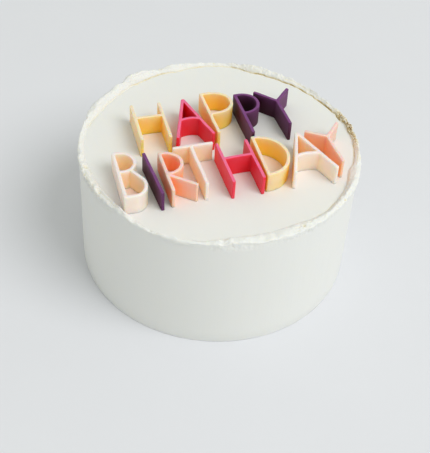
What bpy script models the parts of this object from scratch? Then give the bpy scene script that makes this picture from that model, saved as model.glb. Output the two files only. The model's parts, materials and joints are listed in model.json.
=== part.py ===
"""Round iced birthday cake with thirteen letter candles standing on its flat top.

The cake is one solid: a smooth upright drum of icing whose top edge is a torn, craggy lip.
Each candle is one wax block capital, made of thin strips standing on edge.
The two rows of letters run along +X and read from the front, which faces -Y.
The origin is at the middle of the underside, +Z is up, and the units are metres.
"""

import math

import bmesh
import bpy
import numpy as np
from mathutils import Matrix

MM = 0.001

# Cake
CAKE_RADIUS = 100.0 * MM
ICING_TOP = 96.3 * MM
FOOT_BEVEL = 0.8 * MM
LIP_OVERHANG_DEPTH = 4.0 * MM

# Craggy lip round the top edge
LIP_COLUMNS = 240
LIP_SEED = 7
CRAG_HEIGHT = 0.7 * MM
CRAG_DEPTH = 0.6 * MM
CRAG_WAVES = (9, 17, 26, 37, 51, 68, 87)
PLACE_TOLERANCE = 0.1 * MM

# Rings of the lip, from the flat icing outwards and down: shares of the band inside the edge, of the
# overhang, of the rise where the lip is thin and where it is rounded, and of the overhang's depth,
# then how far crags move it sideways and upright
LIP_RINGS = (
    (1.00, 0.00, 0.00, 0.00, 0.00, 0.00, 0.00),
    (0.82, 0.00, 0.45, 0.78, 0.00, 0.00, 0.35),
    (0.50, 0.00, 0.80, 1.00, 0.00, 0.50, 0.70),
    (0.20, 0.00, 1.00, 0.85, 0.00, 0.50, 1.00),
    (0.00, 0.70, 0.72, 0.65, 0.00, 0.50, 0.80),
    (0.00, 1.00, 0.15, 0.15, 0.00, 0.40, 0.50),
    (0.00, 0.25, 0.00, 0.00, 0.45, 0.00, 0.00),
)

# Lip stations going round the cake: degrees from +X, width of the band inside the edge, height above
# the flat icing and overhang beyond the side, all three in millimetres, and how rounded the lip is
LIP_STATIONS = (
    (0.0, 3.2, 4.0, 0.8, 0.0),
    (9.0, 3.8, 2.9, 0.0, 0.0),
    (18.0, 4.6, 1.6, -1.0, 0.0),
    (30.0, 5.4, 1.5, -1.5, 0.0),
    (44.0, 5.8, 2.0, -0.8, 0.0),
    (60.0, 6.2, 3.8, 0.6, 0.0),
    (70.0, 2.7, 1.5, -0.5, 0.0),
    (86.0, 3.8, 1.8, -0.5, 0.0),
    (97.0, 6.0, 3.6, 0.4, 0.0),
    (104.0, 5.0, 2.4, 0.0, 0.0),
    (117.0, 6.0, 6.2, 2.0, 0.0),
    (119.5, 6.0, 6.0, 2.0, 0.0),
    (122.5, 6.0, 3.8, 0.4, 0.0),
    (131.0, 6.6, 3.8, 0.4, 0.0),
    (137.5, 6.5, 4.0, 0.6, 0.0),
    (142.0, 6.4, 4.2, 2.4, 0.0),
    (146.5, 5.6, 3.0, 1.9, 0.0),
    (151.0, 4.4, 2.7, 0.4, 0.0),
    (157.0, 3.4, 2.5, -0.2, 0.0),
    (175.0, 4.4, 2.5, 0.5, 0.0),
    (184.0, 6.2, 2.6, 0.6, 0.2),
    (196.0, 6.6, 3.3, -0.1, 0.8),
    (204.0, 6.2, 3.8, -0.4, 1.0),
    (210.0, 5.0, 4.0, -0.3, 1.0),
    (213.0, 3.8, 5.0, -0.2, 1.0),
    (215.5, 3.2, 4.8, -0.2, 1.0),
    (218.0, 4.6, 3.4, -0.1, 0.8),
    (221.0, 4.6, 2.5, 0.0, 0.4),
    (226.0, 3.2, 2.2, 0.3, 0.0),
    (238.0, 2.5, 2.2, 0.8, 0.0),
    (249.0, 4.2, 2.6, 0.2, 0.3),
    (256.0, 5.8, 3.4, 0.0, 0.8),
    (261.0, 7.6, 4.4, -0.8, 1.0),
    (267.0, 7.8, 4.2, -0.5, 1.0),
    (274.0, 9.0, 3.2, 0.0, 1.0),
    (289.0, 8.6, 3.1, 0.4, 1.0),
    (297.0, 5.8, 3.1, 0.6, 0.3),
    (304.0, 4.8, 3.3, 0.7, 0.0),
    (321.0, 5.0, 4.2, 2.0, 0.0),
    (332.0, 7.2, 3.4, 1.2, 0.0),
    (339.0, 4.4, 3.2, 1.0, 0.0),
    (346.0, 3.3, 3.0, 0.7, 0.0),
)

# Candles
CANDLE_HEIGHT = 15.5 * MM
WALL = 2.3 * MM
TOUCHING_GAP = 0.3 * MM
BOWL_STEPS = 36
BAR_STEPS = 6
WELD_DISTANCE = 0.00001

# The B's bowls: straight share of the upper reach, centre of the lower bowl as shares of its reach and
# of the waist, the angle where its arc starts, and where its root lies in the upper bowl
B_STRAIGHT = 0.26
B_LOWER_CENTRE = (0.38, 0.44)
B_ARC_START = 35.0
B_ROOT_SHARE = 0.61
B_ROOT_RISE = 0.6

# How far right of the stem's middle the R's leg starts, in millimetres
R_HIP = 1.0


# Scene and collections


def clear_scene():
    """Remove every object, so that the script can be run again in an open file."""
    for item in list(bpy.data.objects):
        bpy.data.objects.remove(item, do_unlink=True)


def new_collection(name):
    """Make a collection and link it to the scene."""
    collection = bpy.data.collections.new(name)
    bpy.context.scene.collection.children.link(collection)
    return collection


def plain_material(name, color, roughness):
    """Principled material with one colour and one roughness."""
    material = bpy.data.materials.new(name)
    material.use_nodes = True
    shader = material.node_tree.nodes["Principled BSDF"]
    shader.inputs["Base Color"].default_value = (*color, 1.0)
    shader.inputs["Roughness"].default_value = roughness
    shader.inputs["Metallic"].default_value = 0.0
    material.diffuse_color = (*color, 1.0)
    return material


def evaluated_mesh(item):
    """Mesh of an object with its modifiers applied."""
    graph = bpy.context.evaluated_depsgraph_get()
    graph.update()
    return bpy.data.meshes.new_from_object(item.evaluated_get(graph), depsgraph=graph)


# Cake


def around(angle, column):
    """One column of LIP_STATIONS at an angle, eased from station to station."""
    degrees = np.degrees(angle) % 360.0
    marks = np.array([station[0] for station in LIP_STATIONS] + [LIP_STATIONS[0][0] + 360.0])
    values = np.array([station[column] for station in LIP_STATIONS] + [LIP_STATIONS[0][column]])
    place = np.clip(np.searchsorted(marks, degrees, side="right") - 1, 0, len(marks) - 2)
    share = (degrees - marks[place]) / (marks[place + 1] - marks[place])
    eased = share * share * (3.0 - 2.0 * share)
    return values[place] + (values[place + 1] - values[place]) * eased


def crags(angle, number):
    """Uneven waves round the lip, between about -1 and 1 and different for each set."""
    chance = np.random.default_rng(LIP_SEED + number)
    phases = chance.uniform(0.0, 2.0 * math.pi, len(CRAG_WAVES))
    sizes = chance.uniform(0.6, 1.0, len(CRAG_WAVES))
    waves = sum(size * np.sin(count * angle + phase)
                for size, count, phase in zip(sizes, CRAG_WAVES, phases))
    return waves / math.sqrt(len(CRAG_WAVES))


def lip_ring(angle, number):
    """Radius and height of one ring of the lip at an angle.

    Rings 1 and 2, and rings 3 and 4, share their crags, so that neighbours move together.
    """
    band, overhang, thin, rounded, drop, sideways, upright = LIP_RINGS[number]
    pair = (number + 1) // 2
    radius = CAKE_RADIUS - (band * around(angle, 1) - overhang * around(angle, 3)) * MM
    radius += sideways * CRAG_DEPTH * crags(angle, 2 * pair)
    rise = thin + (rounded - thin) * around(angle, 4)
    height = ICING_TOP + rise * around(angle, 2) * MM - drop * LIP_OVERHANG_DEPTH
    height += upright * CRAG_HEIGHT * crags(angle, 2 * pair + 1)
    return radius, height


def turned_profile():
    """Points of the cake's outline from the middle of the top to the middle of the underside.

    Its lip points only hold places, and are moved to the lip's rings once the outline is turned.
    """
    points = [(0.0, ICING_TOP)]
    for step in range(len(LIP_RINGS), 0, -1):
        points.append((CAKE_RADIUS - step * MM, ICING_TOP))
    points.append((CAKE_RADIUS, ICING_TOP - LIP_OVERHANG_DEPTH))
    points.append((CAKE_RADIUS, FOOT_BEVEL))
    points.append((CAKE_RADIUS - FOOT_BEVEL, 0.0))
    points.append((0.0, 0.0))
    return points


def make_cake(collection, material):
    """Turn the cake's outline round Z, then shape the rings of the lip."""
    points = turned_profile()
    outline = bpy.data.meshes.new("cake_outline")
    outline.from_pydata([(radius, 0.0, height) for radius, height in points],
                        [(step, step + 1) for step in range(len(points) - 1)], [])
    turned = bpy.data.objects.new("cake_outline", outline)
    collection.objects.link(turned)
    screw = turned.modifiers.new("Turn", "SCREW")
    screw.axis = "Z"
    screw.steps = LIP_COLUMNS
    screw.render_steps = LIP_COLUMNS
    screw.use_merge_vertices = True
    screw.merge_threshold = WELD_DISTANCE
    mesh = evaluated_mesh(turned)
    mesh.name = "cake"
    bpy.data.objects.remove(turned, do_unlink=True)
    bpy.data.meshes.remove(outline)

    places = np.empty(len(mesh.vertices) * 3)
    mesh.vertices.foreach_get("co", places)
    places = places.reshape(-1, 3)
    radius = np.hypot(places[:, 0], places[:, 1])
    angle = np.arctan2(places[:, 1], places[:, 0])
    for number in range(len(LIP_RINGS)):
        place_radius, place_height = points[number + 1]
        here = np.isclose(radius, place_radius, atol=PLACE_TOLERANCE)
        here &= np.isclose(places[:, 2], place_height, atol=PLACE_TOLERANCE)
        lip_radius, lip_height = lip_ring(angle, number)
        places[here, 0] = (lip_radius * np.cos(angle))[here]
        places[here, 1] = (lip_radius * np.sin(angle))[here]
        places[here, 2] = lip_height[here]
    mesh.vertices.foreach_set("co", places.ravel())

    sculpt = bmesh.new()
    sculpt.from_mesh(mesh)
    bmesh.ops.remove_doubles(sculpt, verts=sculpt.verts, dist=WELD_DISTANCE)
    bmesh.ops.recalc_face_normals(sculpt, faces=sculpt.faces)
    sculpt.to_mesh(mesh)
    sculpt.free()
    mesh.materials.append(material)
    mesh.shade_smooth()
    mesh.set_sharp_from_angle(angle=math.radians(40.0))
    cake = bpy.data.objects.new("cake", mesh)
    collection.objects.link(cake)
    return cake


# Strips of wax


def arc(centre, radii, start, end, steps):
    """Points of an elliptical arc, from the start angle to the end angle in degrees."""
    turn = np.radians(np.linspace(start, end, steps + 1))
    return [(centre[0] + radii[0] * math.cos(t), centre[1] + radii[1] * math.sin(t)) for t in turn]


def bowed_bar(left, right, height, bow):
    """Crossbar from left to right, a parabola whose middle stands bow higher than its ends."""
    share = np.linspace(0.0, 1.0, BAR_STEPS + 1)
    return [(left + (right - left) * s, height + bow * 4.0 * s * (1.0 - s)) for s in share]


def bowl(reach, top, bottom, straight):
    """Round side of a P, R, B or D, as far out as reach, drawn through the middle of the wax."""
    half_wall = WALL / MM / 2.0
    top -= half_wall
    bottom += half_wall
    reach -= half_wall
    middle = (top + bottom) / 2.0
    radii = (reach - straight, (top - bottom) / 2.0)
    curve = arc((straight, middle), radii, 90.0, -90.0, BOWL_STEPS)
    if straight > 0.0:
        return [(0.0, top)] + curve + [(0.0, bottom)]
    return curve


def strip_outline(path, level_ends):
    """Corners of the strip that follows path, WALL thick, with mitred bends.

    A level end is cut along the letter's own x direction, and any other end square to the strip.
    """
    points = np.array(path) * MM
    runs = np.diff(points, axis=0)
    runs /= np.linalg.norm(runs, axis=1)[:, None]
    before = np.vstack([runs[:1], runs])
    after = np.vstack([runs, runs[-1:]])
    normals_before = np.column_stack([-before[:, 1], before[:, 0]])
    normals_after = np.column_stack([-after[:, 1], after[:, 0]])
    mitres = normals_before + normals_after
    mitres /= (mitres * normals_after).sum(axis=1)[:, None]
    for end, level in zip((0, -1), level_ends):
        if level:
            mitres[end] = np.array([1.0, 0.0]) / normals_after[end][0]
    offsets = mitres * WALL / 2.0
    return np.vstack([points + offsets, (points - offsets)[::-1]])


def strip_object(name, path, level_ends, collection):
    """One strip on edge: its outline as a filled flat curve, thickened upwards, then made a mesh."""
    curve = bpy.data.curves.new(name, "CURVE")
    curve.dimensions = "2D"
    curve.fill_mode = "BOTH"
    curve.extrude = (CANDLE_HEIGHT - TOUCHING_GAP) / 2.0
    corners = strip_outline(path, level_ends)
    spline = curve.splines.new("POLY")
    spline.points.add(len(corners) - 1)
    for point, corner in zip(spline.points, corners):
        point.co = (corner[0], corner[1], 0.0, 1.0)
    spline.use_cyclic_u = True
    drawn = bpy.data.objects.new(name, curve)
    collection.objects.link(drawn)
    mesh = evaluated_mesh(drawn)
    bpy.data.objects.remove(drawn, do_unlink=True)
    bpy.data.curves.remove(curve)
    welded = bmesh.new()
    welded.from_mesh(mesh)
    bmesh.ops.remove_doubles(welded, verts=welded.verts, dist=WELD_DISTANCE)
    bmesh.ops.recalc_face_normals(welded, faces=welded.faces)
    welded.to_mesh(mesh)
    welded.free()
    strip = bpy.data.objects.new(name, mesh)
    collection.objects.link(strip)
    return strip


# Letters, each a list of (path, level ends), in millimetres from the foot of its left or only stem

SQUARE = (False, False)


def letter_h(height, width, bar, bow, drop):
    """H: two stems, the right one lower by drop, and a crossbar."""
    return [
        ([(0.0, 0.0), (0.0, height)], SQUARE),
        ([(width, -drop), (width, height - drop)], SQUARE),
        (bowed_bar(0.0, width, bar, bow), SQUARE),
    ]


def letter_a(tip, toe, bar, bow):
    """A: two leaning legs that meet in a flat tip, the right one down to the toe, and a bowed bar."""
    left = tip[0] * bar / tip[1]
    right = tip[0] + (toe[0] - tip[0]) * (tip[1] - bar) / (tip[1] - toe[1])
    return [
        ([(0.0, 0.0), tip], (False, True)),
        ([toe, tip], (False, True)),
        (bowed_bar(left, right, bar, bow), SQUARE),
    ]


def letter_p(height, reach, underside, straight):
    """P: a stem and one bowl."""
    return [
        ([(0.0, 0.0), (0.0, height)], SQUARE),
        (bowl(reach, height, underside, straight), SQUARE),
    ]


def letter_r(height, reach, underside, straight, toe):
    """R: a P with a straight leg from under the bowl out to the toe."""
    return letter_p(height, reach, underside, straight) + [([(R_HIP, underside), toe], SQUARE)]


def letter_b(height, upper_reach, lower_reach, waist):
    """B: a stem, an upper bowl, and a larger lower bowl that springs from the waist."""
    half_wall = WALL / MM / 2.0
    centre = (lower_reach * B_LOWER_CENTRE[0], waist * B_LOWER_CENTRE[1])
    radii = (lower_reach - half_wall - centre[0], centre[1] - half_wall)
    lower = arc(centre, radii, B_ARC_START, -90.0, BOWL_STEPS)
    root = (upper_reach * B_ROOT_SHARE, waist + B_ROOT_RISE)
    return [
        ([(0.0, 0.0), (0.0, height)], SQUARE),
        (bowl(upper_reach, height, waist - half_wall, upper_reach * B_STRAIGHT), SQUARE),
        ([root] + lower + [(0.0, half_wall)], SQUARE),
    ]


def letter_i(height):
    """I: one stem."""
    return [([(0.0, 0.0), (0.0, height)], SQUARE)]


def letter_t(height, left, right, lean):
    """T: a top bar over a stem, whose head stands lean to the side of its foot."""
    bar = height - WALL / MM / 2.0
    return [
        ([(0.0, 0.0), (lean, bar)], SQUARE),
        ([(left, bar), (right, bar)], SQUARE),
    ]


def letter_d(height, reach):
    """D: a stem and a half-round bowl."""
    return [
        ([(0.0, 0.0), (0.0, height)], SQUARE),
        (bowl(reach, height, 0.0, 0.0), SQUARE),
    ]


def letter_y(fork, left_tip, right_tip):
    """Y: a strip bent at the fork, from the foot to the left tip, and a right arm let into it."""
    return [
        ([(0.0, 0.0), (0.0, fork), left_tip], SQUARE),
        ([(0.0, fork), right_tip], SQUARE),
    ]


# Wax colours, as linear red, green and blue
WAXES = {
    "yellow": (0.93, 0.58, 0.20),
    "raspberry": (0.66, 0.05, 0.12),
    "purple": (0.085, 0.025, 0.085),
    "peach": (0.89, 0.71, 0.60),
    "salmon": (0.90, 0.42, 0.31),
}

# Letter, wax, foot in millimetres, turn in degrees anticlockwise, strips
CANDLES = (
    ("h", "yellow", (-55.9, 0.4), 0.5, letter_h(39.3, 20.2, 24.4, 0.2, 0.6)),
    ("a", "raspberry", (-31.3, -2.4), -0.2, letter_a((12.9, 42.0), (26.1, 0.0), 18.6, 1.6)),
    ("p", "yellow", (-1.3, -1.6), 3.3, letter_p(45.5, 20.4, 19.9, 6.2)),
    ("p", "purple", (22.5, -6.5), 2.6, letter_p(44.8, 15.0, 21.2, 2.4)),
    ("y", "purple", (51.2, -2.2), 4.3, letter_y(27.1, (-13.1, 41.3), (12.8, 38.9))),
    ("b", "peach", (-78.0, -54.9), 0.5, letter_b(45.8, 14.0, 16.9, 25.6)),
    ("i", "purple", (-53.4, -56.0), 6.0, letter_i(43.0)),
    ("r", "salmon", (-45.9, -54.4), 2.3, letter_r(39.6, 13.8, 16.0, 1.6, (17.3, 2.2))),
    ("t", "peach", (-22.3, -52.2), 1.5, letter_t(41.4, -14.1, 14.6, -1.2)),
    ("h", "raspberry", (-4.5, -54.2), 2.7, letter_h(41.1, 21.0, 24.6, 0.2, 0.6)),
    ("d", "yellow", (20.4, -52.4), 0.6, letter_d(41.7, 20.4)),
    ("a", "peach", (38.9, -52.8), 0.3, letter_a((13.4, 40.0), (30.0, -1.1), 16.2, 1.5)),
    ("y", "salmon", (74.8, -48.2), 4.5, letter_y(27.6, (-13.5, 37.3), (13.0, 40.3))),
)


def make_candle(number, letter, turn, foot, strips, material, collection, pieces):
    """Join a letter's strips into one solid and stand it on the icing, the gap above it."""
    made = [strip_object(f"{letter}_strip", path, level_ends, pieces) for path, level_ends in strips]
    body = made[0]
    if len(made) > 1:
        pieces.objects.unlink(body)
        collection.objects.link(body)
        join = body.modifiers.new("Join strips", "BOOLEAN")
        join.operation = "UNION"
        join.operand_type = "COLLECTION"
        join.collection = pieces
        join.solver = "EXACT"
    mesh = evaluated_mesh(body)
    for strip in made:
        bpy.data.objects.remove(strip, do_unlink=True)
    middle = ICING_TOP + TOUCHING_GAP + (CANDLE_HEIGHT - TOUCHING_GAP) / 2.0
    standing = Matrix.Translation((foot[0] * MM, foot[1] * MM, middle))
    mesh.name = f"candle_{number:02d}_{letter}"
    mesh.materials.clear()
    mesh.materials.append(material)
    mesh.shade_smooth()
    mesh.set_sharp_from_angle(angle=math.radians(30.0))
    candle = bpy.data.objects.new(mesh.name, mesh)
    candle.matrix_world = standing @ Matrix.Rotation(math.radians(turn), 4, "Z")
    collection.objects.link(candle)
    return candle


def main():
    """Build the cake and its candles."""
    clear_scene()
    collection = new_collection("birthday_cake")
    pieces = new_collection("candle_strips")
    icing = plain_material("icing", (0.80, 0.80, 0.76), 0.6)
    make_cake(collection, icing)
    waxes = {name: plain_material(f"{name}_wax", color, 0.5) for name, color in WAXES.items()}
    for number, (letter, wax, foot, turn, strips) in enumerate(CANDLES, start=1):
        make_candle(number, letter, turn, foot, strips, waxes[wax], collection, pieces)
    bpy.data.collections.remove(pieces)
    bpy.context.view_layer.update()


main()
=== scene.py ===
"""Birthday cake with letter candles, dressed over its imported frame.

The drum of icing is one surface of rings round the upright axis: smooth top, torn lip, scraped side
and foot. Each candle is a wall of wax along the outline of its letter, with rounded edges and a
slight waver. Lengths are in millimetres until they reach a mesh.
"""

from __future__ import annotations

import json
import logging
import math
from collections.abc import Mapping
from dataclasses import dataclass, field, replace
from enum import Enum

import bmesh
import bpy
import numpy as np
from bpy.types import ID, Material, Node, NodeSocket, Object
from mathutils import Matrix, Vector
from mathutils.geometry import tessellate_polygon


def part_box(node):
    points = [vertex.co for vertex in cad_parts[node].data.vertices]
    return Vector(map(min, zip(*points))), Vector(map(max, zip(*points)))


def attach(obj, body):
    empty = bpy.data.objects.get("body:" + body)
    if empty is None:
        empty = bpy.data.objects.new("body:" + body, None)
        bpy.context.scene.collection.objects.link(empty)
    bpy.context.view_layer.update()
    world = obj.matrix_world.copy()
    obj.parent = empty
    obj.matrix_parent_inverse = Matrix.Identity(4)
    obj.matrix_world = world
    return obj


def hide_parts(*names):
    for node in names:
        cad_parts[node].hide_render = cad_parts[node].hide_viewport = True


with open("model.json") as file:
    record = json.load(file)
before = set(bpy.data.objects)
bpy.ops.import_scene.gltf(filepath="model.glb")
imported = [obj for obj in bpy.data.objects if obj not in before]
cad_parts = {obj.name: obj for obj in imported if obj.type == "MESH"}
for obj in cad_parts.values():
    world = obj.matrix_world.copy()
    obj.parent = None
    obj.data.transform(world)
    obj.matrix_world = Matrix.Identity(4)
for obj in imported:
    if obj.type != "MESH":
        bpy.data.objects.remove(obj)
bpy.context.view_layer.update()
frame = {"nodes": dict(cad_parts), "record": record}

Array = np.ndarray
Color = tuple[float, float, float]

MM = 0.001
FULL_TURN = 360.0
HALF_TURN = 180.0
BODY = "root"
CAKE_NODE = "cake"
CANDLE_PREFIX = "candle_"

log = logging.getLogger("birthday_cake")


# Numbers on grids


def smooth_step(value: Array, low: Array | float, high: Array | float) -> Array:
    """Ease from 0 at low to 1 at high: 3 s^2 - 2 s^3, with s the share of the way."""
    share = np.clip((value - low) / (high - low), 0.0, 1.0)
    return share * share * (3.0 - 2.0 * share)


def bell(gap: Array, reach: Array | float) -> Array:
    """Bell curve exp(-(gap / reach)^2), 1 in the middle and about 0.37 at reach."""
    return np.exp(-np.square(gap / reach))


def cross(first: Array, second: Array) -> Array:
    """Cross product x1 y2 - y1 x2 of flat vectors, above 0 where the second is left of the first."""
    return first[..., 0] * second[..., 1] - first[..., 1] * second[..., 0]


def chance(cell: Array, seed: int) -> Array:
    """Fixed random number from 0 to 1 for each whole-numbered cell.

    The cell's numbers are multiplied by large odd numbers and added, and the sum's bits are mixed by
    shifts and exclusive-ors.

    Args:
        cell: whole numbers, (..., 3).
        seed: picks the set of numbers.

    Returns:
        Array without the last axis.
    """
    low_bits = np.uint64(0xFFFFFFFF)
    key = cell.astype(np.int64).astype(np.uint64)
    mixed = key[..., 0] * np.uint64(374761393) + key[..., 1] * np.uint64(668265263)
    mixed += key[..., 2] * np.uint64(2246822519) + np.uint64(seed * 3266489917 % 2**32)
    mixed &= low_bits
    mixed = ((mixed ^ (mixed >> np.uint64(13))) * np.uint64(1274126177)) & low_bits
    mixed ^= mixed >> np.uint64(16)
    return mixed.astype(float) / float(low_bits)


def wrapped(cell: Array, period: int) -> Array:
    """Cells whose first number is counted round a circle of period cells, if period isn't 0."""
    turned = cell[..., :1] % period if period else cell[..., :1]
    return np.concatenate([turned, cell[..., 1:]], axis=-1)


def lattice_noise(points: Array, seed: int, period: int = 0) -> Array:
    """Smooth noise from -1 to 1: random values at whole-numbered corners, eased in between.

    Args:
        points: places in cells, (..., 3).
        seed: picks the noise.
        period: cells after which the first axis repeats, or 0.

    Returns:
        Array without the last axis.
    """
    base = np.floor(points)
    share = points - base
    eased = share**3 * (share * (share * 6.0 - 15.0) + 10.0)
    total = np.zeros(points.shape[:-1])
    for corner in np.ndindex(2, 2, 2):
        weight = np.prod(np.where(corner, eased, 1.0 - eased), axis=-1)
        total += weight * chance(wrapped(base + corner, period), seed)
    return 2.0 * total - 1.0


def octaves(points: Array, seed: int, count: int, period: int = 0) -> Array:
    """Sum of noises, each with half the grain and half the height of the one before."""
    scales = 2 ** np.arange(count)
    return sum(lattice_noise(points * scale, seed + step, period * int(scale)) / scale
               for step, scale in enumerate(scales))


def lumps(points: Array, seed: int, period: int = 0) -> Array:
    """Rounded lumps with cracks between them: 0 on a crack and up to about 1 inside a lump.

    Each cell holds a random point, and the result is the distance to the second nearest less that to
    the nearest.

    Args:
        points: places, (..., 3), a unit to a lump.
        seed: picks the lumps.
        period: cells after which the first axis repeats, or 0.

    Returns:
        Array without the last axis.
    """
    base = np.floor(points)
    nearest = np.full(points.shape[:-1], np.inf)
    second = nearest.copy()
    for corner in np.ndindex(3, 3, 3):
        cell = base + corner - 1.0
        inside = np.stack([chance(wrapped(cell, period), seed + axis) for axis in range(3)], axis=-1)
        gap = np.linalg.norm(cell + inside - points, axis=-1)
        second = np.minimum(second, np.maximum(nearest, gap))
        nearest = np.minimum(nearest, gap)
    return second - nearest


def curve_through(points: Array, places: Array) -> Array:
    """Catmull-Rom curve through points along the first axis.

    Between two points the curve is the cubic whose slope at each is half the step between its
    neighbours. Past the ends the end points are repeated.

    Args:
        points: (count, ...).
        places: positions along the points, from 0 to count - 1.

    Returns:
        Array (len(places), ...).
    """
    last = len(points) - 1
    start = np.clip(np.floor(places).astype(int), 0, last - 1)
    share = (places - start).reshape((-1,) + (1,) * (points.ndim - 1))
    before, here, after, beyond = (points[np.clip(start + step, 0, last)] for step in (-1, 0, 1, 2))
    slope_here = (after - before) / 2.0
    slope_after = (beyond - here) / 2.0
    bend = 2.0 * here - 2.0 * after + slope_here + slope_after
    rise = 3.0 * (after - here) - 2.0 * slope_here - slope_after
    return here + share * (slope_here + share * (rise + share * bend))


@dataclass(frozen=True)
class Grain:
    """Noise round the drum, with cells of along by across, count octaves and a height, all lengths in
    millimetres."""

    along: float
    across: float
    seed: int
    count: int = 3
    height: float = 1.0


@dataclass(frozen=True)
class RimLine:
    """Groove or ridge that runs along the lip.

    path goes anticlockwise in pairs of degrees and place. A place counts guide points across the lip:
    3 is the inner crease, 6 the crest and 8 the outer edge. width is half the line's width and depth
    is negative for a ridge, both in millimetres. tint is how much painted shade darkens it, broken
    how unevenly it runs, and fade the degrees over which its ends die out.
    """

    path: tuple[tuple[float, float], ...]
    width: float
    depth: float
    shade_tint: float
    broken: float = 0.3
    fade: float = 2.5

    def local(self, angle: Array) -> Array:
        """Angles counted on from the line's start, in degrees."""
        return self.path[0][0] + (angle - self.path[0][0]) % FULL_TURN

    def place(self, angle: Array) -> Array:
        """Place across the lip at each angle, straight from point to point."""
        degrees, places = np.array(self.path).T
        return np.interp(self.local(angle), degrees, places)

    def strength(self, angle: Array) -> Array:
        """1 along the line, easing to 0 over its last few degrees at either end."""
        local, start, end = self.local(angle), self.path[0][0], self.path[-1][0]
        return smooth_step(local, start, start + self.fade) * (1.0 - smooth_step(local, end - self.fade, end))


@dataclass(frozen=True)
class Pit:
    """Small hole in the lip, at an angle in degrees and a place as in RimLine, with its radius and
    depth in millimetres and the painted shade in it."""

    angle: float
    place: float
    radius: float
    depth: float
    shade_tint: float


# Meshes


def new_object(name: str, data: ID) -> Object:
    """Object of that name and data, linked to the scene."""
    made = bpy.data.objects.new(name, data)
    bpy.context.scene.collection.objects.link(made)
    return made


def ring_quads(rings: int, around: int) -> Array:
    """Faces between the rings of a grid that closes round its second axis.

    Each face takes a point, the next one round and the two above them, so faces look outwards where
    rings run anticlockwise and climb.

    Args:
        rings: number of rings.
        around: points in a ring.

    Returns:
        Corner numbers, (count, 4).
    """
    ring, step = np.meshgrid(np.arange(rings - 1), np.arange(around), indexing="ij")
    low, after = ring * around, (step + 1) % around
    corners = (low + step, low + after, low + around + after, low + around + step)
    return np.stack(corners, axis=-1).reshape(-1, 4)


def add_body(name: str, points: Array, quads: Array, triangles: Array, material: Material,
             marks: Mapping[str, Array], node: str) -> Object:
    """Put a smooth-shaded closed body in the scene, in place of a CAD node.

    Args:
        name: the piece's name.
        points: corners in millimetres, (count, 3).
        quads: corner numbers, (count, 4).
        triangles: corner numbers, (count, 3).
        material: its finish.
        marks: a number at each corner for each attribute that the finish reads.
        node: the CAD node that it stands for.

    Returns:
        The new piece.
    """
    mesh = bpy.data.meshes.new(name)
    mesh.from_pydata((points * MM).tolist(), [], quads.tolist() + triangles.tolist())
    mesh.validate()
    mesh.shade_smooth()
    for mark, values in marks.items():
        mesh.attributes.new(mark, "FLOAT", "POINT").data.foreach_set("value", values.astype(np.float32))
    mesh.materials.append(material)
    piece = new_object(name, mesh)
    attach(piece, BODY)
    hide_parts(node)
    return piece


def merged_node(node: str) -> tuple[Array, Array]:
    """Corners in millimetres and triangles of a CAD node, with its loose triangles joined up.

    Args:
        node: the node's name.

    Returns:
        Points (count, 3) and corner numbers (count, 3).
    """
    merge_distance = 0.02 * MM
    joined = bmesh.new()
    joined.from_mesh(frame["nodes"][node].data)
    bmesh.ops.remove_doubles(joined, verts=joined.verts, dist=merge_distance)
    points = np.array([vertex.co for vertex in joined.verts]) / MM
    triangles = np.array([[vertex.index for vertex in face.verts] for face in joined.faces])
    joined.free()
    return points, triangles


# Shader maths


class Graph:
    """A material's node tree, with one method that makes every node."""

    def __init__(self, name: str) -> None:
        """Start an empty material.

        Args:
            name: the material's name.
        """
        self.material = bpy.data.materials.new(name)
        self.material.use_nodes = True
        self.tree = self.material.node_tree
        self.tree.nodes.clear()

    def node(self, kind: str, inputs: Mapping[str | int, object], **settings: object) -> Node:
        """Make a node, set it up and feed its sockets.

        Args:
            kind: the node's type.
            inputs: a value, a socket or a Link for each socket name or number.
            **settings: its properties, set first.

        Returns:
            The new node.
        """
        made = self.tree.nodes.new(kind)
        for key, value in settings.items():
            setattr(made, key, value)
        for key, value in inputs.items():
            source = value.socket if isinstance(value, Link) else value
            if isinstance(source, NodeSocket):
                self.tree.links.new(source, made.inputs[key])
            else:
                made.inputs[key].default_value = source
        return made

    def link(self, node: Node, output: str | int = 0) -> Link:
        """One of a node's outputs, ready for sums."""
        return Link(self, node.outputs[output])

    def attribute(self, name: str) -> Link:
        """The mesh's stored number of that name."""
        return self.link(self.node("ShaderNodeAttribute", {}, attribute_name=name), "Fac")

    def place(self, upright: float = 1.0) -> NodeSocket:
        """Object coordinates in millimetres, with heights times upright."""
        coordinates = self.node("ShaderNodeTexCoord", {}).outputs["Object"]
        return self.node("ShaderNodeMapping", {
            "Vector": coordinates, "Scale": (1.0 / MM, 1.0 / MM, upright / MM)}).outputs[0]

    def noise(self, vector: NodeSocket, grain: float, detail: float = 3.0, roughness: float = 0.5) -> Link:
        """Noise from 0 to 1, centred on a half, with a grain in millimetres."""
        return self.link(self.node("ShaderNodeTexNoise", {
            "Vector": vector, "Scale": 1.0 / grain, "Detail": detail, "Roughness": roughness}), "Fac")

    def mix(self, factor: Link | float, first: object, second: object) -> NodeSocket:
        """Colour between first, at factor 0, and second, at 1. Sockets 6 and 7 are its colours."""
        return self.node("ShaderNodeMix", {0: factor, 6: first, 7: second}, data_type="RGBA").outputs[2]

    def bump(self, height: Link, depth: float) -> NodeSocket:
        """Normal roughened by a height from 0 to 1 that stands for depth millimetres."""
        return self.node("ShaderNodeBump", {"Height": height, "Distance": depth * MM}).outputs["Normal"]

    def finish(self, inputs: Mapping[str, object]) -> Material:
        """Close the tree with a Principled shader that takes these inputs."""
        shader = self.node("ShaderNodeBsdfPrincipled", inputs)
        self.node("ShaderNodeOutputMaterial", {"Surface": shader.outputs[0]})
        return self.material


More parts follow.
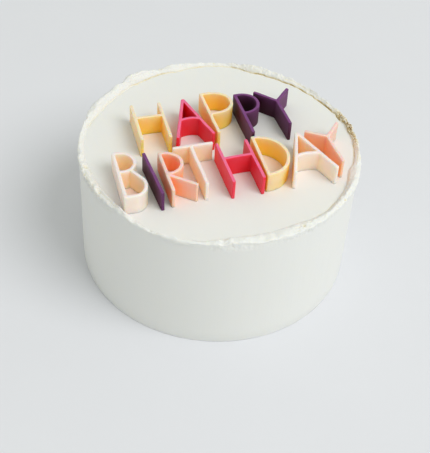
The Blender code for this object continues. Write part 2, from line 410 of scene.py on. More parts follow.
@dataclass(frozen=True)
class Link:
    """A number in a node tree. Sums with it add Math nodes."""

    graph: Graph
    socket: NodeSocket

    def math(self, operation: str, first: Link | float, second: Link | float) -> Link:
        """Result of one Math node."""
        return self.graph.link(self.graph.node("ShaderNodeMath", {0: first, 1: second}, operation=operation))

    def __add__(self, other: Link | float) -> Link:
        """self + other, which is also other + self."""
        return self.math("ADD", self, other)

    __radd__ = __add__

    def __sub__(self, other: Link | float) -> Link:
        """self - other."""
        return self.math("SUBTRACT", self, other)

    def __rsub__(self, other: float) -> Link:
        """other - self."""
        return self.math("SUBTRACT", other, self)

    def __mul__(self, other: Link | float) -> Link:
        """self times other, which is also other times self."""
        return self.math("MULTIPLY", self, other)

    __rmul__ = __mul__

    def between(self, low: float, high: float) -> Link:
        """Ease from 0 at low to 1 at high."""
        return self.graph.link(self.graph.node("ShaderNodeMapRange", {
            "Value": self, "From Min": low, "From Max": high}, interpolation_type="SMOOTHSTEP"))


# Finishes


@dataclass(frozen=True)
class IcingFinish:
    """Smooth off-white icing, with painted shade in its torn cracks, grooves and pits: cream, then olive,
    then brown.
    """

    fresh: Color = (0.812, 0.820, 0.792)
    warmer: Color = (0.828, 0.830, 0.805)
    cream: Color = (0.84, 0.80, 0.65)
    olive: Color = (0.66, 0.54, 0.28)
    brown: Color = (0.44, 0.27, 0.09)
    scatter: Color = (1.0, 0.92, 0.75)
    scatter_mm: float = 2.0
    cloud_mm: float = 26.0
    grain_mm: float = 0.55
    scrape_mm: float = 2.4
    stretch: float = 0.12
    relief_mm: float = 0.10

    def material(self) -> Material:
        """Principled icing: painted shade in the cracks, grain from three noises.

        Returns:
            The new material, which reads the crevice and torn attributes.
        """
        graph = Graph("icing")
        place = graph.place()
        upright = graph.place(self.stretch)
        crevice_shade = graph.attribute("crevice_shade")
        torn = graph.attribute("torn")
        cloudy = graph.noise(place, self.cloud_mm, 2.0)
        fine = graph.noise(place, self.grain_mm, 3.0, 0.6)
        scraped = graph.noise(upright, self.scrape_mm, 3.0, 0.55)
        body = graph.mix(cloudy * 0.35, (*self.fresh, 1.0), (*self.warmer, 1.0))
        # Painted shade: cracks, grooves and pits turn cream, olive, then brown as their crevice mark deepens
        for low, high, color in ((0.0, 0.35, self.cream), (0.3, 0.7, self.olive), (0.65, 1.0, self.brown)):
            body = graph.mix(crevice_shade.between(low, high), body, (*color, 1.0))
        height = fine * (0.35 + 0.65 * torn) + scraped * 0.5
        return graph.finish({
            "Base Color": body,
            "Roughness": 0.52 + 0.12 * fine,
            "Normal": graph.bump(height, self.relief_mm),
            "Subsurface Weight": 0.45,
            "Subsurface Radius": self.scatter,
            "Subsurface Scale": self.scatter_mm * MM,
            "Specular IOR Level": 0.35,
        })


@dataclass(frozen=True)
class WaxFinish:
    """Cast wax, with painted shade where walls enclose it and painted pale light where open and on top edges.
    """

    deep: Color
    pale: Color
    scatter: Color
    painted_light_strength: float
    scatter_mm: float = 6.0
    gloss: float = 0.35
    cloud_mm: float = 5.0
    grain_mm: float = 0.6
    relief_mm: float = 0.12

    def material(self, name: str) -> Material:
        """Principled wax that lets light through.

        Args:
            name: the material's name.

        Returns:
            The new material, which reads the open and crest attributes.
        """
        graph = Graph(name)
        place = graph.place()
        cloudy = graph.noise(place, self.cloud_mm, 3.0, 0.6)
        fine = graph.noise(place, self.grain_mm, 2.0)
        crest = graph.attribute("crest")
        painted_openness = graph.attribute("open")
        # Painted light and shade: the top edge and open walls get the pale lit colour, enclosed walls the
        # deep shaded one
        painted_light_share = crest + (1.0 - crest) * self.painted_light_strength * painted_openness * (0.8 + 0.4 * cloudy)
        return graph.finish({
            "Base Color": graph.mix(painted_light_share, (*self.deep, 1.0), (*self.pale, 1.0)),
            "Roughness": 0.42 + 0.15 * cloudy,
            "Normal": graph.bump(cloudy * 0.8 + fine * 0.2, self.relief_mm),
            "Subsurface Weight": 1.0,
            "Subsurface Radius": self.scatter,
            "Subsurface Scale": self.scatter_mm * MM,
            "Subsurface Anisotropy": 0.4,
            "Specular IOR Level": self.gloss,
        })


class Wax(Enum):
    """The record's wax slots, each with the values of its finish."""

    # Slot, deep colour painted where walls enclose the wax, pale colour painted where it lies open, scatter,
    # how strongly open walls are painted pale, then scatter size and gloss where they differ
    YELLOW = ("yellow_wax", (0.995, 0.60, 0.05), (0.95, 0.69, 0.53), (1.0, 0.6, 0.25), 0.77)
    RASPBERRY = ("raspberry_wax", (0.76, 0.016, 0.030), (0.80, 0.175, 0.33), (1.0, 0.2, 0.2), 0.25, 2.5)
    PURPLE = ("purple_wax", (0.050, 0.010, 0.016), (0.215, 0.077, 0.225), (0.6, 0.25, 0.5), 0.64, 1.0, 0.12)
    PEACH = ("peach_wax", (0.99, 0.74, 0.52), (0.97, 0.76, 0.735), (1.0, 0.7, 0.5), 0.86)
    SALMON = ("salmon_wax", (0.99, 0.45, 0.20), (0.97, 0.61, 0.58), (1.0, 0.5, 0.3), 0.76)

    def __init__(self, slot: str, *values: Color | float) -> None:
        """Keep the slot's name and make its finish."""
        self.slot = slot
        self.finish = WaxFinish(*values)


# The cake


@dataclass
class IcedCake:
    """The drum of icing, from the middle of its underside up its side, over the lip and in.

    The lip runs from crease_place to foot_place, counted in guide points as in RimLine. lip_spans has
    the place where each span of rings starts and its number of rings. The extra guides lie in from the
    crease by guides_before and down from the lip's end by guides_after. The pivot lies in from the side
    and down from the flat top. The lines' breaks are line_gap apart in their noise.
    """

    columns: int = 1500
    cad_columns: int = 240
    side_rings: int = 8
    top_rings: int = 6
    bevel: float = 0.8
    lip_search_radius: float = 88.0
    lip_search_depth: float = 5.0
    pivot_inset: float = 3.0
    pivot_depth: float = 2.5
    guides_before: tuple[float, ...] = (4.0, 2.0, 0.7)
    guides_after: tuple[float, ...] = (2.0, 4.5)
    crease_place: float = 3.0
    foot_place: float = 9.5
    straying: Grain = Grain(7, 1, 11, 3, 0.35)
    slant: Grain = Grain(15, 6, 21, 1, 1.6)
    streak: Grain = Grain(11, 1, 31)
    rough: Grain = Grain(2.4, 1.9, 41, 4)
    clump: Grain = Grain(2.9, 2.3, 51)
    bit: Grain = Grain(1.5, 1.3, 61)
    leaning: tuple[Grain, ...] = (Grain(4, 30, 81, 3, 0.8), Grain(4, 30, 91, 3, 0.9))
    breaks: Grain = Grain(4, 1, 300, 3, 0.9)
    line_gap: float = 9.5
    scraping: tuple[Grain, ...] = (Grain(30, 60, 7, 1, 0.20), Grain(6, 45, 8, 1, 0.05))
    streak_height: float = 0.20
    rough_height: float = 0.06
    torn_height: float = 0.28
    clump_height: float = 0.60
    bit_height: float = 0.40
    crack_width: float = 0.3
    lip_spans: tuple[tuple[float, int], ...] = ((0.0, 4), (2.5, 35), (9.0, 6), (11.0, 1))
    # Degrees, how torn, how streaked and how much painted shade its cracks get there
    states: tuple[tuple[float, ...], ...] = (
        (0, 1, 0, 1), (8, 1, 0, 0.9), (14, 0.6, 0, 0.35), (27, 0.45, 0.2, 0.18), (40, 0.5, 0.2, 0.16),
        (55, 0.6, 0.1, 0.16), (66, 0.7, 0.1, 0.2), (72, 0.35, 0.1, 0.12), (80, 0.2, 0.2, 0.1),
        (92, 0.15, 0.4, 0.1), (100, 0.3, 0.5, 0.15), (108, 0.2, 0.7, 0.12), (118, 0.25, 0.9, 0.12),
        (130, 0.15, 1, 0.08), (143, 0.15, 0.9, 0.08), (152, 0.3, 0.4, 0.1), (158, 0.05, 0.1, 0),
        (172, 0.05, 0, 0), (179, 0.5, 0, 0.1), (186, 0.9, 0, 0.15), (198, 0.8, 0, 0.12),
        (206, 0.45, 0.2, 0.06), (216, 0.2, 0.2, 0.03), (226, 0.25, 0, 0.03), (236, 0.05, 0, 0),
        (248, 0.1, 0, 0), (256, 0.35, 0.1, 0.06), (264, 0.3, 0.1, 0.05), (272, 0.08, 0.2, 0),
        (283, 0.15, 0.2, 0.03), (291, 0.5, 0.1, 0.1), (297, 0.3, 0.1, 0.06), (306, 0.25, 0.2, 0.06),
        (314, 0.5, 0.2, 0.15), (321, 0.5, 0.2, 0.12), (330, 0.3, 0.3, 0.15), (338, 0.35, 0.3, 0.25),
        (346, 0.5, 0.2, 0.5), (353, 0.9, 0, 0.9))
    lines: tuple[RimLine, ...] = tuple(RimLine(*row) for row in (
        (((116, 3.1), (140, 3), (157, 3.2)), 0.8, 0.3, 0.2),
        (((95, 3), (118, 3.1), (122, 3.3)), 0.4, 0.55, 0.5),
        (((69, 3), (85, 3), (99, 3)), 0.45, 0.45, 0.42), (((43, 3), (58, 3.1), (72, 3)), 0.45, 0.9, 0.66),
        (((6, 3), (25, 3), (46, 3)), 0.45, 1, 0.78),
        (((350, 3.2), (355, 3.5), (359, 3.1), (363, 3.7), (367, 3.3), (372, 3)), 0.42, 1.3, 1, 0.5),
        (((351, 4.6), (356, 4.2), (360, 4.8), (365, 4.3), (369, 4.9), (374, 4.1)), 0.34, 1, 0.85, 0.8),
        (((353, 6), (358, 5.5), (363, 6.1), (368, 5.6), (372, 6.2)), 0.3, 0.7, 0.6, 0.9),
        (((334, 3.1), (344, 3), (353, 3.2)), 0.4, 0.6, 0.55),
        (((335, 6.6), (350, 7), (365, 7.1), (385, 7), (406, 6.8)), 0.3, 0.4, 0.34, 0.6),
        (((12, 5), (24, 4.4), (38, 5.2), (46, 4.6)), 0.3, 0.4, 0.4, 0.7),
        (((298, 3.6), (322, 3.8), (338, 3.5)), 1.2, 0.1, 0.27),
        (((331, 4.4), (340, 4.9), (348, 4.6), (356, 5.2)), 0.35, 0.55, 0.45, 0.7),
        (((336, 6), (344, 5.6), (352, 6.3), (362, 6.8)), 0.3, 0.5, 0.45, 0.7),
        (((264, 3.1), (288, 3.1), (312, 3)), 0.7, 0.5, 0.3),
        (((249, 3.1), (258, 3.2), (266, 3)), 0.6, 0.35, 0.2, 0.8),
        (((195, 5.3), (204, 5.1), (214, 5), (218, 4.6), (222, 4), (227, 3.2)), 0.45, 1, 0.2),
        (((197, 4.4), (206, 4.4), (217, 4.2)), 0.7, -0.5, 0),
        (((114, 6.6), (126, 6.4), (140, 6.7), (152, 6.4)), 0.25, 0.35, 0.16, 0.7),
        (((104, 5.4), (120, 5), (134, 5.5)), 0.25, 0.25, 0.05, 0.8),
        (((284, 5.6), (291, 5), (299, 5.4)), 0.35, 0.5, 0.16, 0.6),
        (((306, 6.4), (314, 6.8), (326, 6.5)), 0.35, 0.5, 0.2, 0.7)))
    pits: tuple[Pit, ...] = tuple(Pit(*row) for row in (
        (111.3, 7.2, 1, 1, 0.45), (121.8, 7.3, 1, 1.2, 0.4), (128, 6.9, 0.8, 0.6, 0.3),
        (148, 7.6, 0.9, 1.2, 0.45), (152, 7.6, 0.9, 1, 0.4), (103, 7, 0.8, 0.7, 0.4),
        (103.2, 5.6, 0.5, 0.5, 0.4), (100.3, 7.6, 0.7, 0.7, 0.3), (67.5, 7.2, 1, 1, 0.45),
        (64.3, 7.3, 0.7, 0.8, 0.5), (59.5, 5.8, 1, 0.6, 0.3), (55, 6.9, 0.7, 0.9, 0.6),
        (53, 6.9, 0.8, 1, 0.7), (48.5, 6.9, 0.7, 0.9, 0.6), (45, 6.2, 0.6, 0.6, 0.4),
        (78, 5.5, 0.8, 0.5, 0.35), (182.5, 4.8, 2, 1.3, 0.42), (186.5, 6.2, 1, 0.9, 0.3),
        (188.5, 6.4, 0.8, 0.8, 0.3), (194.5, 6, 0.9, 0.8, 0.3), (199.5, 5.4, 1.2, 1.2, 0.38),
        (228.5, 6, 0.7, 0.9, 0.2), (258, 3.2, 1.6, 0.4, 0.22), (264, 3.1, 1.2, 0.3, 0.2),
        (290.5, 5.6, 1.1, 1.2, 0.42), (287, 6.2, 0.7, 0.5, 0.2), (297, 4.2, 0.9, 0.6, 0.2),
        (313.5, 6.9, 1, 1.2, 0.45), (308, 7, 0.8, 0.6, 0.25), (352, 3.6, 0.9, 1.2, 0.85),
        (340, 6.6, 1, 0.5, 0.4), (9, 5.4, 0.8, 1.2, 0.8), (3, 4.4, 0.9, 1.4, 0.9),
        (358.5, 4, 0.8, 1.2, 0.9), (30, 6.6, 0.7, 0.6, 0.4), (21, 6.4, 0.7, 0.7, 0.45)))
    turn: Array = field(init=False)
    profile: Array = field(init=False)
    top: float = field(init=False)
    radius: float = field(init=False)
    degree_mm: float = field(init=False)

    def __post_init__(self) -> None:
        """Read the solid's points, as turn and profile, and the drum's radius and flat top."""
        points, _ = merged_node(CAKE_NODE)
        x, y, height = points.T
        reach = np.hypot(x, y)
        upper = height > height.max() / 2.0
        rim = 2.0
        self.radius = float(reach[~upper].max())
        self.top = float(height[upper & (reach < self.radius - rim)].min())
        self.turn = np.degrees(np.arctan2(y, x))
        self.profile = np.stack([reach, height], axis=-1)
        self.degree_mm = math.tau * self.radius / FULL_TURN

    def cad_lip(self) -> Array:
        """Radius and height of the solid's lip, column by column, from its crease over and down.

        Points are in order of their turn round the pivot inside the lip.

        Returns:
            Array (cad_columns, points, 2).
        """
        start = (self.lip_search_radius, self.top - self.lip_search_depth)
        on_lip = (self.profile > start).all(axis=-1)
        column = np.round(self.turn[on_lip] / FULL_TURN * self.cad_columns).astype(int) % self.cad_columns
        lip = self.profile[on_lip]
        out, up = (lip - (self.radius - self.pivot_inset, self.top - self.pivot_depth)).T
        order = np.lexsort((-np.arctan2(up, out), column))
        return lip[order].reshape(self.cad_columns, -1, 2)

    def lip_guides(self, angle: Array) -> Array:
        """Guide points of the lip's profile, with flat icing before and side after.

        Args:
            angle: the columns' angles in degrees.

        Returns:
            Array (guides, columns, 2) of radius and height.
        """
        lip = self.cad_lip()
        padded = np.concatenate([lip[-2:], lip, lip[:3]])
        lip = curve_through(padded, angle / FULL_TURN * self.cad_columns + 2.0).transpose(1, 0, 2)
        before = [lip[0] - (step, 0.0) for step in self.guides_before]
        edge = lip[-1] * (0.0, 1.0) + (self.radius, 0.0)
        after = [edge - (0.0, step) for step in self.guides_after]
        return np.stack([*before, *lip, *after])

    def cells(self, grain: Grain, angle: Array, across: Array) -> tuple[Array, int, int]:
        """Places of degrees and millimetres in a grain's cells, with its seed and its cells in a turn."""
        around = round(math.tau * self.radius / grain.along)
        return np.stack([angle / FULL_TURN * around, across / grain.across, np.zeros_like(across)],
                        axis=-1), grain.seed, around

    def noise(self, grain: Grain, angle: Array, across: Array) -> Array:
        """The grain's height times its octaves, at angles in degrees and distances across."""
        places, seed, around = self.cells(grain, angle, across)
        return grain.height * octaves(places, seed, grain.count, around)

    def lip_places(self) -> Array:
        """Places of the lip's rings, in guide points and closest together on the lip itself."""
        spans = zip(self.lip_spans, self.lip_spans[1:])
        rows = [np.linspace(start, end, count, endpoint=False) for (start, count), (end, _) in spans]
        return np.concatenate(rows + [[self.lip_spans[-1][0]]])

    def line_marks(self, angle: Array, run: Array, places: Array, waver: Array) -> tuple[Array, Array]:
        """Depth and painted shade of the lip's lines and pits.

        A line is a bell across its path, and a pit a bell of the distance from its middle.

        Args:
            angle: the columns' angles in degrees.
            run: millimetres across the lip at each ring and column.
            places: the rings' places.
            waver: millimetres by which the lines stray.

        Returns:
            Depth in millimetres and painted shade from 0 to 1.
        """
        depth, groove_shade = np.zeros((2, *run.shape))
        ring = np.arange(len(places), dtype=float)
        column = np.arange(len(angle))

        def run_at(place: Array) -> Array:
            """Distance across the lip at a place for each column."""
            row = np.interp(place, places, ring)
            low = np.clip(row.astype(int), 0, len(places) - 2)
            return run[low, column] + (row - low) * (run[low + 1, column] - run[low, column])

        for number, line in enumerate(self.lines):
            breaks = replace(self.breaks, seed=self.breaks.seed + number)
            uneven = 0.5 + self.noise(breaks, angle, np.full_like(angle, self.line_gap * number))
            strength = line.strength(angle) * np.clip(1.0 - line.broken * uneven, 0.0, 1.2)
            gap = run - run_at(line.place(angle)) + waver
            depth += line.depth * strength * bell(gap, line.width)
            groove_shade = np.maximum(groove_shade, line.shade_tint * strength * bell(gap, 1.25 * line.width))
        for pit in self.pits:
            along = ((angle - pit.angle + HALF_TURN) % FULL_TURN - HALF_TURN) * self.degree_mm
            across = run - run_at(np.full_like(angle, pit.place))
            gap = np.hypot(along + 1.5 * waver, across + waver)
            depth += pit.depth * bell(gap, pit.radius)
            groove_shade = np.maximum(groove_shade, pit.shade_tint * bell(gap, 1.1 * pit.radius))
        return depth, groove_shade

    def lip(self, angle: Array) -> tuple[Array, Array, Array]:
        """Lip rings with their relief.

        The profile is a Catmull-Rom curve through the guides, pushed along its own normal by streaks,
        roughness and lumps, and back by the lines and pits.

        Args:
            angle: the columns' angles in degrees.

        Returns:
            Radius and height (rings, columns, 2) from the flat icing outwards, painted crevice shade and
            torn.
        """
        places = self.lip_places()
        profile = curve_through(self.lip_guides(angle), places)
        steps = np.linalg.norm(np.diff(profile, axis=0), axis=-1)
        run = np.cumsum(np.pad(steps, ((1, 0), (0, 0))), axis=0)
        crease = run[np.searchsorted(places, self.crease_place)]
        foot = run[np.searchsorted(places, self.foot_place)]
        angles = np.broadcast_to(angle, run.shape)
        degrees, *states = np.array(self.states).T
        torn, streaked, crack_shade = (np.interp(angle, degrees, state, period=FULL_TURN) for state in states)
        waver = self.noise(self.straying, angles, np.zeros_like(run))
        across = run - crease + waver
        mask = smooth_step(across, -0.2, 0.8) * (1.0 - smooth_step(run, foot - 1.2, foot + 0.8))
        share = across / (foot - crease)

        slanted = across + self.noise(self.slant, angles, across)
        streaks = 1.0 - 2.0 * np.abs(self.noise(self.streak, angles, slanted))
        rough = self.noise(self.rough, angles, across)
        clump_gap = lumps(*self.cells(self.clump, angles, across + 0.5 * rough))
        bit_gap = lumps(*self.cells(self.bit, angles, across))
        clumps = smooth_step(clump_gap, 0.0, 0.5) - 0.6
        bits = smooth_step(bit_gap, 0.0, 0.5) - 0.5
        relief = mask * (self.streak_height * streaked * streaks
                         + (self.rough_height + self.torn_height * torn) * rough
                         + torn * (self.clump_height * clumps + self.bit_height * bits))
        depth, groove_shade = self.line_marks(angle, run, places, waver + 0.12 * rough)

        along = np.gradient(profile, axis=0)
        along /= np.linalg.norm(along, axis=-1, keepdims=True)
        normal = np.stack([-along[..., 1], along[..., 0]], axis=-1)
        profile = profile + normal * (relief - depth)[..., None]
        lean = mask * smooth_step(share, 0.15, 0.45) * (0.06 + 0.6 * torn)
        for axis, grain in enumerate(self.leaning):
            profile[..., axis] += lean * self.noise(grain, angles, across)

        # Painted shade: the cracks between lumps darken where the lip is torn
        cracks = np.maximum(1.0 - smooth_step(clump_gap, 0.0, self.crack_width),
                            0.7 - 0.7 * smooth_step(bit_gap, 0.0, self.crack_width))
        cracks *= smooth_step(torn, 0.2, 0.9) * mask * (1.0 - 0.75 * smooth_step(share, 0.55, 0.85))
        crevice_shade = np.maximum(groove_shade, crack_shade * cracks)
        return profile, np.clip(crevice_shade, 0.0, 1.0), mask * torn

    def top_waver(self, x: Array, y: Array) -> Array:
        """Gentle unevenness of the flat icing, under 0.2 mm: a broad noise and a smaller one."""
        broad, small = (lattice_noise(np.stack([x / grain, y / grain, np.full_like(x, layer)], axis=-1), seed)
                        for grain, layer, seed in ((34.0, 0.5, 5), (9.0, 3.5, 6)))
        return 0.13 * broad + 0.04 * small

    def side_waver(self, angle: Array, height: Array) -> Array:
        """Scraper's unevenness of the side: two noises that are tall and narrow."""
        return sum(self.noise(grain, angle, height) for grain in self.scraping)

    def rings(self) -> tuple[Array, Array, Array]:
        """The drum's rings, from the underside to the top, with their attributes.

        Returns:
            Points (rings, columns, 3), crevice and torn (rings, columns).
        """
        angle = np.arange(self.columns) / self.columns * FULL_TURN
        lip, crevice_shade, torn = self.lip(angle)
        lip = lip[::-1]
        corner = 0.25 * self.bevel
        foot = [(self.radius / 2.0, 0.0), (self.radius - self.bevel, 0.0), (self.radius - corner, corner),
                (self.radius, self.bevel)]
        foot = np.repeat(np.array(foot)[:, None, :], self.columns, axis=1)
        share = np.linspace(0.0, 1.0, self.side_rings + 2)[1:-1, None]
        heights = self.bevel + share * (lip[0, :, 1] - self.bevel)
        side = np.stack([np.full_like(heights, self.radius), heights], axis=-1)
        share = np.linspace(1.0, 0.0, self.top_rings + 2)[1:-1, None] ** 0.8
        reach = share * lip[-1, :, 0]
        top = np.stack([reach, np.full_like(reach, self.top)], axis=-1)
        rows = np.concatenate([foot, side, lip, top])
        angles = np.broadcast_to(angle, rows.shape[:2])
        radius, height = rows[..., 0], rows[..., 1]
        on_side = smooth_step(height, 0.5, 12.0) * (1.0 - smooth_step(height, self.top - 9.0, self.top - 3.0))
        radius = radius + np.where(radius > self.radius - 1.0, on_side * self.side_waver(angles, height), 0.0)
        turn = np.radians(angles)
        x, y = radius * np.cos(turn), radius * np.sin(turn)
        inside = 1.0 - smooth_step(radius, self.radius - 9.0, self.radius - 4.0)
        height = height + np.where(height > self.top / 2.0, inside * self.top_waver(x, y), 0.0)
        bare = ((len(foot) + len(side), len(top)), (0, 0))
        crevice_shade, torn = (np.pad(marks[::-1], bare) for marks in (crevice_shade, torn))
        return np.stack([x, y, height], axis=-1), crevice_shade, torn

    def build(self, material: Material) -> Object:
        """Make the drum as one closed body and put it in place of the solid.

        Args:
            material: the icing.

        Returns:
            The new piece.
        """
        rings, crevice_shade, torn = self.rings()
        count, around, _ = rings.shape
        middle_top = (0.0, 0.0, rings[-1, :, 2].mean())
        points = np.concatenate([rings.reshape(-1, 3), [(0.0, 0.0, 0.0), middle_top]])
        under = np.full(around, count * around)
        step = np.arange(around)
        after = (step + 1) % around
        last = (count - 1) * around
        triangles = np.concatenate([np.column_stack([under, after, step]),
                                    np.column_stack([under + 1, last + step, last + after])])
        marks = {"crevice_shade": np.append(crevice_shade, (0.0, 0.0)), "torn": np.append(torn, (0.0, 0.0))}
        quads = ring_quads(count, around)
        return add_body("iced_cake", points, quads, triangles, material, marks, CAKE_NODE)


# The candles


@dataclass
class LetterCandle:
    """One candle: a wall of wax that follows its letter's outline, standing in the icing.

    Lengths are in millimetres. Rays fan out to fan degrees either side of a wall's normal and don't
    see walls nearer than nearest.
    """

    node: str
    slot: str
    icing_top: float
    point_spacing: float = 0.45
    edge_radius: float = 0.42
    edge_steps: int = 4
    wall_rows: int = 7
    smoothing_passes: int = 3
    sunk: float = 0.5
    waver: float = 0.10
    top_waver: float = 0.12
    waver_grain: float = 8.0
    top_grain: float = 11.0
    rays: int = 11
    fan: float = 80.0
    nearest: float = 0.3
    open_power: float = 2.2

    def outline_loops(self) -> list[Array]:
        """Closed outlines of the solid's top, each with the wax on its left.

        An edge that only one triangle of the flat top has is on the outline, and leads on to the one
        that starts where it ends.

        Returns:
            One array (count, 2) for each loop.
        """
        flat = 0.05
        points, triangles = merged_node(self.node)
        high = points[:, 2] > points[:, 2].max() - flat
        lid = triangles[high[triangles].all(axis=1)]
        edges = np.concatenate([lid[:, [0, 1]], lid[:, [1, 2]], lid[:, [2, 0]]])
        here = edges[:, 0] * len(points) + edges[:, 1]
        back = edges[:, 1] * len(points) + edges[:, 0]
        after = dict(edges[~np.isin(here, back)].tolist())
        loops = []
        while after:
            start, place = after.popitem()
            loop = [start]
            while place != start:
                loop.append(place)
                place = after.pop(place)
            loops.append(points[loop, :2])
        return loops

    def inset(self, loop: Array, depth: float) -> Array:
        """The loop moved into the wax by depth, with true mitres at its corners.

        Each corner moves along the sum of its two edges' normals n and m, by depth (n + m) / (1 + n.m).

        Args:
            loop: closed outline, (count, 2).
            depth: millimetres.

        Returns:
            Array like loop.
        """
        along = np.roll(loop, -1, axis=0) - loop
        along /= np.linalg.norm(along, axis=1, keepdims=True)
        after = np.column_stack([-along[:, 1], along[:, 0]])
        before = np.roll(after, 1, axis=0)
        both = 1.0 + (before * after).sum(axis=1, keepdims=True)
        return loop + depth * (before + after) / both

    def refined(self, loop: Array, counts: Array) -> Array:
        """Points spread evenly along each edge, then eased so that corners turn softly.

        Args:
            loop: closed outline, (count, 2).
            counts: how many points each edge gets.

        Returns:
            Array (counts' sum, 2).
        """
        edge = np.repeat(np.arange(len(loop)), counts)
        first = np.cumsum(counts) - counts
        share = (np.arange(counts.sum()) - first[edge]) / counts[edge]
        along = np.roll(loop, -1, axis=0) - loop
        points = loop[edge] + along[edge] * share[:, None]
        for _ in range(self.smoothing_passes):
            points = 0.25 * np.roll(points, 1, axis=0) + 0.5 * points + 0.25 * np.roll(points, -1, axis=0)
        return points

    def rows(self, top: float) -> tuple[Array, Array]:
        """Inset and height of the wall's rows, from the buried foot to the rounded upper edge.

        The edge is a quarter circle: inset r (1 - cos t) and height top - r (1 - sin t). Two rows are
        under the icing, so that the foot's turned normals don't darken the wall.

        Args:
            top: height of the candle's top.

        Returns:
            Shares of the edge radius, and heights.
        """
        turn = np.linspace(0.0, math.pi / 2.0, self.edge_steps + 1)
        foot = self.icing_top - self.sunk
        wall = np.linspace(self.icing_top - self.sunk / 2.0, top - self.edge_radius, self.wall_rows)
        shares = np.concatenate([np.zeros(self.wall_rows), 1.0 - np.cos(turn)])
        heights = np.concatenate([[foot], wall[:-1], top - self.edge_radius * (1.0 - np.sin(turn))])
        return shares, heights

    def openness(self, loop: Array, heights: Array, walls: Array) -> Array:
        """Share of its surroundings that each point of the wall sees over other walls.

        Flat rays fan out from each point. One that meets a wall at distance d, h higher than the point,
        sees the share 1 - h / sqrt(h^2 + d^2) of its sky. Shares are averaged with the cosines of the
        rays' turns from the normal.

        Args:
            loop: closed outline, (count, 2).
            heights: height of each row of the wall.
            walls: all outlines' edges, (count, 2, 2).

        Returns:
            Array (rows, count) from 0 to 1.
        """
        along = np.roll(loop, -1, axis=0) - np.roll(loop, 1, axis=0)
        ahead = np.arctan2(-along[:, 0], along[:, 1])
        turns = np.radians(np.linspace(-self.fan, self.fan, self.rays))
        aim = ahead[:, None] + turns
        ray = np.stack([np.cos(aim), np.sin(aim)], axis=-1)[:, :, None]
        to_wall = (walls[:, 0] - loop[:, None])[:, None]
        edge = walls[:, 1] - walls[:, 0]
        turn = cross(ray, edge)
        parallel = 1e-9
        turn = np.where(np.abs(turn) < parallel, parallel, turn)
        reach = cross(to_wall, edge) / turn
        share = cross(to_wall, ray) / turn
        met = (reach > self.nearest) & (share >= 0.0) & (share <= 1.0)
        gap = np.where(met, reach, np.inf).min(axis=-1)
        rise = (heights.max() - heights)[:, None, None]
        return np.average(1.0 - rise / np.hypot(rise, gap), axis=-1, weights=np.cos(turns))

    def build(self, material: Material, walls: Array) -> Object:
        """Make the letter as one closed body of wax.

        Args:
            material: the wax.
            walls: all candles' outline edges, (count, 2, 2).

        Returns:
            The new piece.
        """
        shares, heights = self.rows(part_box(self.node)[1][2] / MM)
        parts, start = [], 0
        for loop in self.outline_loops():
            lengths = np.linalg.norm(np.roll(loop, -1, axis=0) - loop, axis=1)
            counts = np.maximum(np.ceil(lengths / self.point_spacing).astype(int), 1)
            outer = self.refined(loop, counts)
            inner = self.refined(self.inset(loop, self.edge_radius), counts)
            around = len(outer)
            flat = outer + (inner - outer) * shares[:, None, None]
            climb = np.repeat(heights, around).reshape(-1, around, 1)
            foot = np.arange(start, start + around)
            end = start + len(heights) * around
            parts.append((
                np.concatenate([flat, climb], axis=-1).reshape(-1, 3),
                ring_quads(len(heights), around) + start,
                # Openness and the top edge, which the wax paints as light where open and as shade where
                # enclosed
                self.openness(outer, heights, walls).ravel() ** self.open_power,
                np.repeat(smooth_step(shares, 0.05, 0.7), around),
                foot, foot + end - around - start))
            start = end
        points, quads, painted_openness, crests, feet, lids = zip(*parts)
        points = np.concatenate(points)
        triangles = np.concatenate([self.cap(points, lids, True), self.cap(points, feet, False)])
        marks = {"open": np.concatenate(painted_openness), "crest": np.concatenate(crests)}
        return add_body(self.node + "_wax", self.wavered(points), np.concatenate(quads), triangles, material,
                        marks, self.node)

    @staticmethod
    def cap(points: Array, rims: tuple[Array, ...], upwards: bool) -> Array:
        """Triangles that fill the area between the rims, looking up or down.

        Args:
            points: all points.
            rims: point numbers of each rim.
            upwards: whether the faces look up.

        Returns:
            Corner numbers, (count, 3).
        """
        loops = [[Vector((*points[place, :2], 0.0)) for place in rim] for rim in rims]
        corners = np.concatenate(rims)[np.array(tessellate_polygon(loops))]
        a, b, c = (points[corners[:, side], :2] for side in range(3))
        wrong = (cross(b - a, c - a) < 0.0) == upwards
        corners[wrong] = corners[wrong][:, ::-1]
        return corners

    def wavered(self, points: Array) -> Array:
        """Points moved a little by smooth noise: walls sideways, and the top up and down.

        Args:
            points: (count, 3).

        Returns:
            Array like points.
        """
        side_seed, top_seed, lowering = 200, 210, 0.8
        moved = points.copy()
        for axis in (0, 1):
            moved[:, axis] += self.waver * octaves(points / self.waver_grain, side_seed + axis, 2)
        climb = smooth_step(points[:, 2], self.icing_top + 2.0, points[:, 2].max() - 1.0)
        flat = points * (1.0 / self.top_grain, 1.0 / self.top_grain, 0.0)
        moved[:, 2] += self.top_waver * climb * (lattice_noise(flat, top_seed) - lowering)
        return moved


@dataclass
class CandleRow:
    """All the letter candles, dressed in the waxes that the record gives them."""

    icing_top: float

    def build(self) -> list[Object]:
        """Make every candle.

        Returns:
            The new pieces.
        """
        materials = {wax.slot: wax.finish.material(wax.slot) for wax in Wax}
        slots = {part["node"]: part["material_slot"] for part in frame["record"]["subparts"]}
        nodes = sorted(name for name in frame["nodes"] if name.startswith(CANDLE_PREFIX))
        candles = [LetterCandle(node, slots[node], self.icing_top) for node in nodes]
        loops = [loop for candle in candles for loop in candle.outline_loops()]
        walls = np.concatenate([np.stack([loop, np.roll(loop, -1, axis=0)], axis=1) for loop in loops])
        return [candle.build(materials[candle.slot], walls) for candle in candles]


# The picture


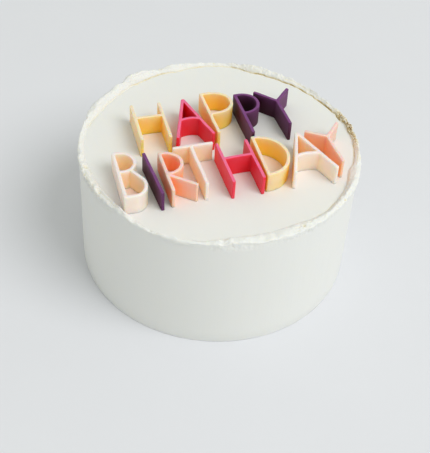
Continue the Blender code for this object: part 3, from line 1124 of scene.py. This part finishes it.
@dataclass(frozen=True)
class Studio:
    """Floor, soft light and the camera at the photograph's angle."""

    azimuth: float = -17.0
    elevation: float = 45.5246
    distance: float = 0.791491
    yaw: float = -0.0416
    pitch: float = 0.8353
    roll: float = 3.7471
    frame_height_px: float = 453.0
    focal_px: float = 1014.257
    sensor_mm: float = 24.0
    floor_size: float = 6.0
    floor_color: Color = (0.74, 0.75, 0.785)
    world_color: Color = (0.98, 1.0, 0.94)
    world_strength: float = 0.617
    key_bearing: float = 59.0
    key_elevation: float = 52.0
    key_distance: float = 5.0
    key_size: float = 3.3
    key_power: float = 132.0
    key_color: Color = (1.0, 1.0, 1.01)
    bounces: int = 16

    def camera(self) -> Object:
        """Camera on a circle round the cake, turned a little to the photograph's view.

        Returns:
            The new camera, also set as the scene's.
        """
        data = bpy.data.cameras.new("camera")
        data.sensor_fit = "VERTICAL"
        data.sensor_height = self.sensor_mm
        data.lens = self.sensor_mm * self.focal_px / self.frame_height_px
        data.clip_end = 20.0
        camera = new_object("camera", data)
        tilt = math.radians(self.elevation)
        back = Vector((0.0, -self.distance * math.cos(tilt), self.distance * math.sin(tilt)))
        aim = Matrix.Rotation(math.radians(self.azimuth), 4, "Z") @ Matrix.Translation(back)
        aim = aim @ Matrix.Rotation(math.pi / 2.0 - tilt, 4, "X")
        for degrees, axis in ((self.yaw, "Y"), (self.pitch, "X"), (self.roll, "Z")):
            aim = aim @ Matrix.Rotation(math.radians(degrees), 4, axis)
        camera.matrix_world = aim
        bpy.context.scene.camera = camera
        return camera

    def light(self) -> None:
        """One large soft lamp to the right of the camera and an even pale surround."""
        data = bpy.data.lights.new("key", "AREA")
        data.shape = "DISK"
        data.size = self.key_size
        data.energy = self.key_power
        data.color = self.key_color
        lamp = new_object("key", data)
        bearing = math.radians(self.azimuth + self.key_bearing)
        climb = math.radians(self.key_elevation)
        flat = math.cos(climb)
        toward = Vector((math.sin(bearing) * flat, -math.cos(bearing) * flat, math.sin(climb)))
        lamp.location = toward * self.key_distance
        lamp.rotation_euler = toward.to_track_quat("Z", "Y").to_euler()
        world = bpy.data.worlds.new("surround")
        world.use_nodes = True
        inputs = world.node_tree.nodes["Background"].inputs
        inputs["Color"].default_value = (*self.world_color, 1.0)
        inputs["Strength"].default_value = self.world_strength
        bpy.context.scene.world = world

    def floor(self) -> Object:
        """Plain pale floor with a very slight mottle.

        Returns:
            The floor.
        """
        half = self.floor_size / 2.0
        mesh = bpy.data.meshes.new("floor")
        corners = [(-half, -half, 0.0), (half, -half, 0.0), (half, half, 0.0), (-half, half, 0.0)]
        mesh.from_pydata(corners, [], [(0, 1, 2, 3)])
        graph = Graph("floor")
        mottle = graph.noise(graph.place(), 60.0, 2.0)
        paler = tuple(part + 0.015 for part in self.floor_color)
        mesh.materials.append(graph.finish({
            "Base Color": graph.mix(mottle, (*self.floor_color, 1.0), (*paler, 1.0)),
            "Roughness": 0.8,
            "Specular IOR Level": 0.2,
        }))
        floor = new_object("floor", mesh)
        return floor

    def build(self) -> None:
        """Set up the studio, with bounces enough for light to die away inside pale wax."""
        scene = bpy.context.scene
        scene.view_settings.view_transform = "Standard"
        scene.cycles.max_bounces = self.bounces
        scene.cycles.diffuse_bounces = self.bounces
        self.camera()
        self.light()
        self.floor()


def main() -> None:
    """Build the studio, the cake and its candles."""
    logging.basicConfig(level=logging.INFO, format="%(name)s: %(message)s")
    Studio().build()
    cake = IcedCake()
    for piece in (cake.build(IcingFinish().material()), *CandleRow(cake.top).build()):
        log.info("%s: %d faces", piece.name, len(piece.data.polygons))


if __name__ == "__main__":
    main()
